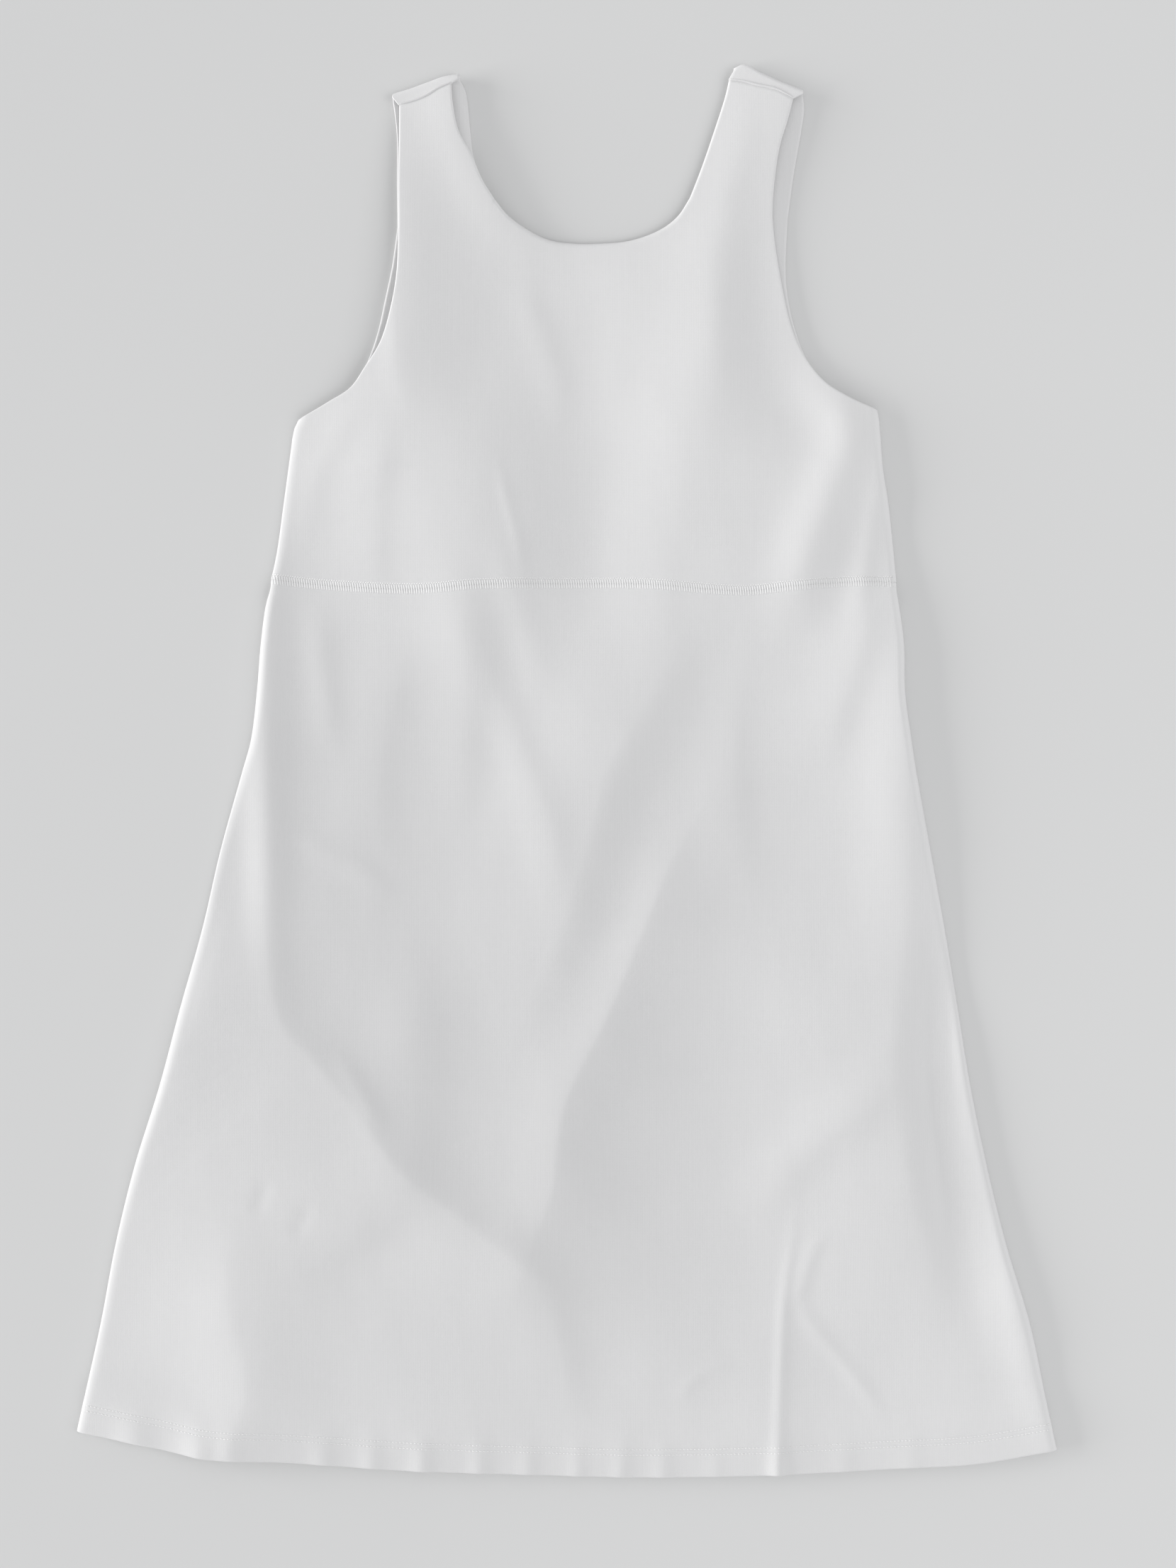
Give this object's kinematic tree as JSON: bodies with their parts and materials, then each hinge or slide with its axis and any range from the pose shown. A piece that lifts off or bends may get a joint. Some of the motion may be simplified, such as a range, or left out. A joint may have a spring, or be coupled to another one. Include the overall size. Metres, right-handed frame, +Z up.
{
  "type": "athletic dress",
  "caption": "Sleeveless knit dress laid out flat: scooped neck, wide straps, waist seam and a flared skirt with a turned-up hem.",
  "frame": {"origin": "on the surface that the dress lies on, under the middle of its outline", "axes": "+X across the dress, to the right when it is seen from above with the shoulders away from you, +Y from the hem to the shoulders, +Z up out of the front panel"},
  "size_m": [0.6208, 0.893, 0.0116],
  "materials": {
    "white_knit": "smooth fine double knit, matt with a faint sheen"
  },
  "bodies": {
    "root": {"front_bodice": "white_knit", "back_bodice": "white_knit", "front_skirt": "white_knit", "back_skirt": "white_knit"}
  },
  "joints": []
}
